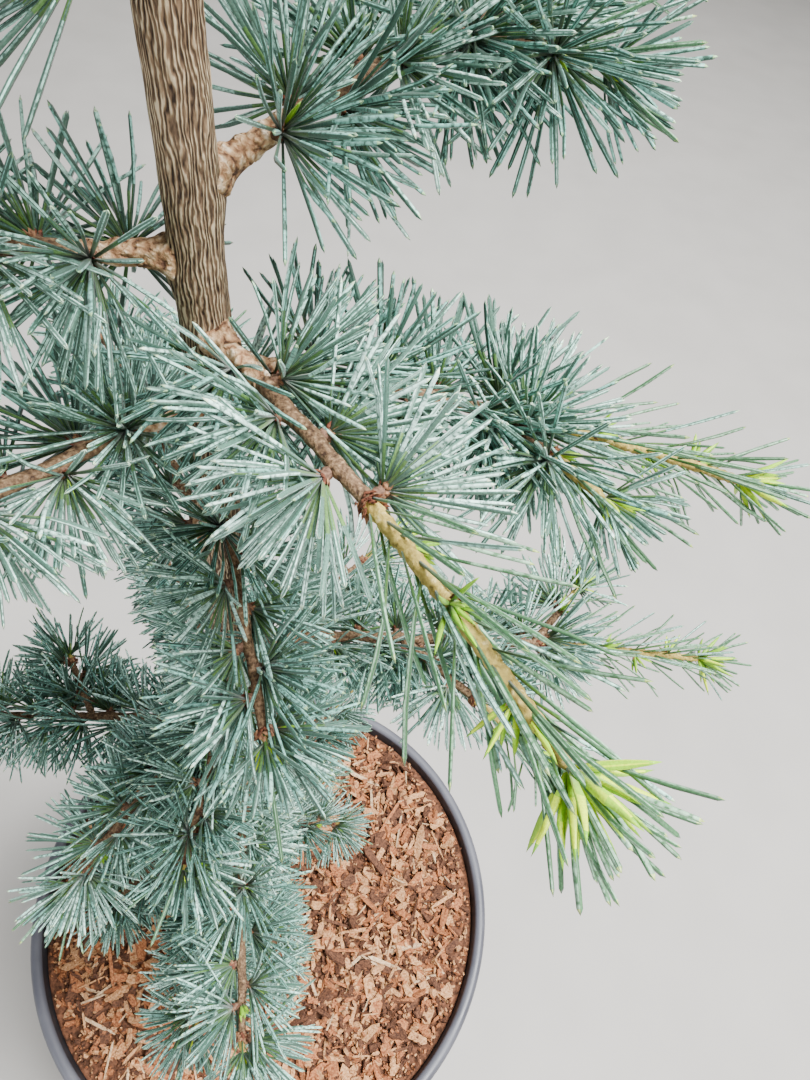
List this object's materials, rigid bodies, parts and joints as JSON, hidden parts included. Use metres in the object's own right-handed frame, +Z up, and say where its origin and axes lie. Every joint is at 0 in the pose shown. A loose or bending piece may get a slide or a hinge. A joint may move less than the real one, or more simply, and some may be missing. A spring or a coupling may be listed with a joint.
{
  "type": "potted young cedar of lebanon",
  "caption": "Young blue-needled cedar with one straight stem, level boughs of needle rosettes and a leader, growing in a round nursery pot topped with bark.",
  "frame": {"origin": "centre of the pot's flat underside", "axes": "+Z up along the stem, +Y away from the picture's viewpoint as seen in plan, +X to its right"},
  "size_m": [0.317, 0.31, 1.2218],
  "materials": {
    "pot": "moulded polypropylene, dull sheen",
    "growing_medium": "loose damp bark chips",
    "bark": "rough furrowed bark",
    "needles": "waxy matt"
  },
  "bodies": {
    "root": {"bough_01": "bark", "bough_07": "bark", "bough_12": "bark", "bough_13": "bark", "bough_14": "bark", "bough_15": "bark", "bough_19": "bark", "bough_20": "bark", "bough_22": "bark", "bough_23": "bark", "bough_24": "bark", "bough_25": "bark", "bough_26": "bark", "bough_27": "bark", "foliage_01": "needles", "foliage_02": "needles", "foliage_03": "needles", "foliage_04": "needles", "foliage_05": "needles", "foliage_06": "needles", "foliage_07": "needles", "foliage_08": "needles", "foliage_09": "needles", "foliage_10": "needles", "foliage_11": "needles", "foliage_12": "needles", "foliage_13": "needles", "foliage_14": "needles", "foliage_15": "needles", "foliage_16": "needles", "foliage_17": "needles", "foliage_18": "needles", "foliage_19": "needles", "foliage_20": "needles", "foliage_21": "needles", "foliage_22": "needles", "foliage_23": "needles", "foliage_24": "needles", "foliage_25": "needles", "foliage_26": "needles", "foliage_27": "needles", "foliage_28": "needles", "foliage_29": "needles", "foliage_30": "needles", "foliage_31": "needles", "foliage_32": "needles", "foliage_33": "needles", "foliage_34": "needles", "foliage_35": "needles", "foliage_36": "needles", "foliage_37": "needles", "foliage_38": "needles", "foliage_39": "needles", "foliage_leader": "needles", "growing_medium": "growing_medium", "pot": "pot", "spur_1": "needles", "spur_2": "needles", "spur_3": "needles", "trunk": "bark"}
  },
  "joints": []
}
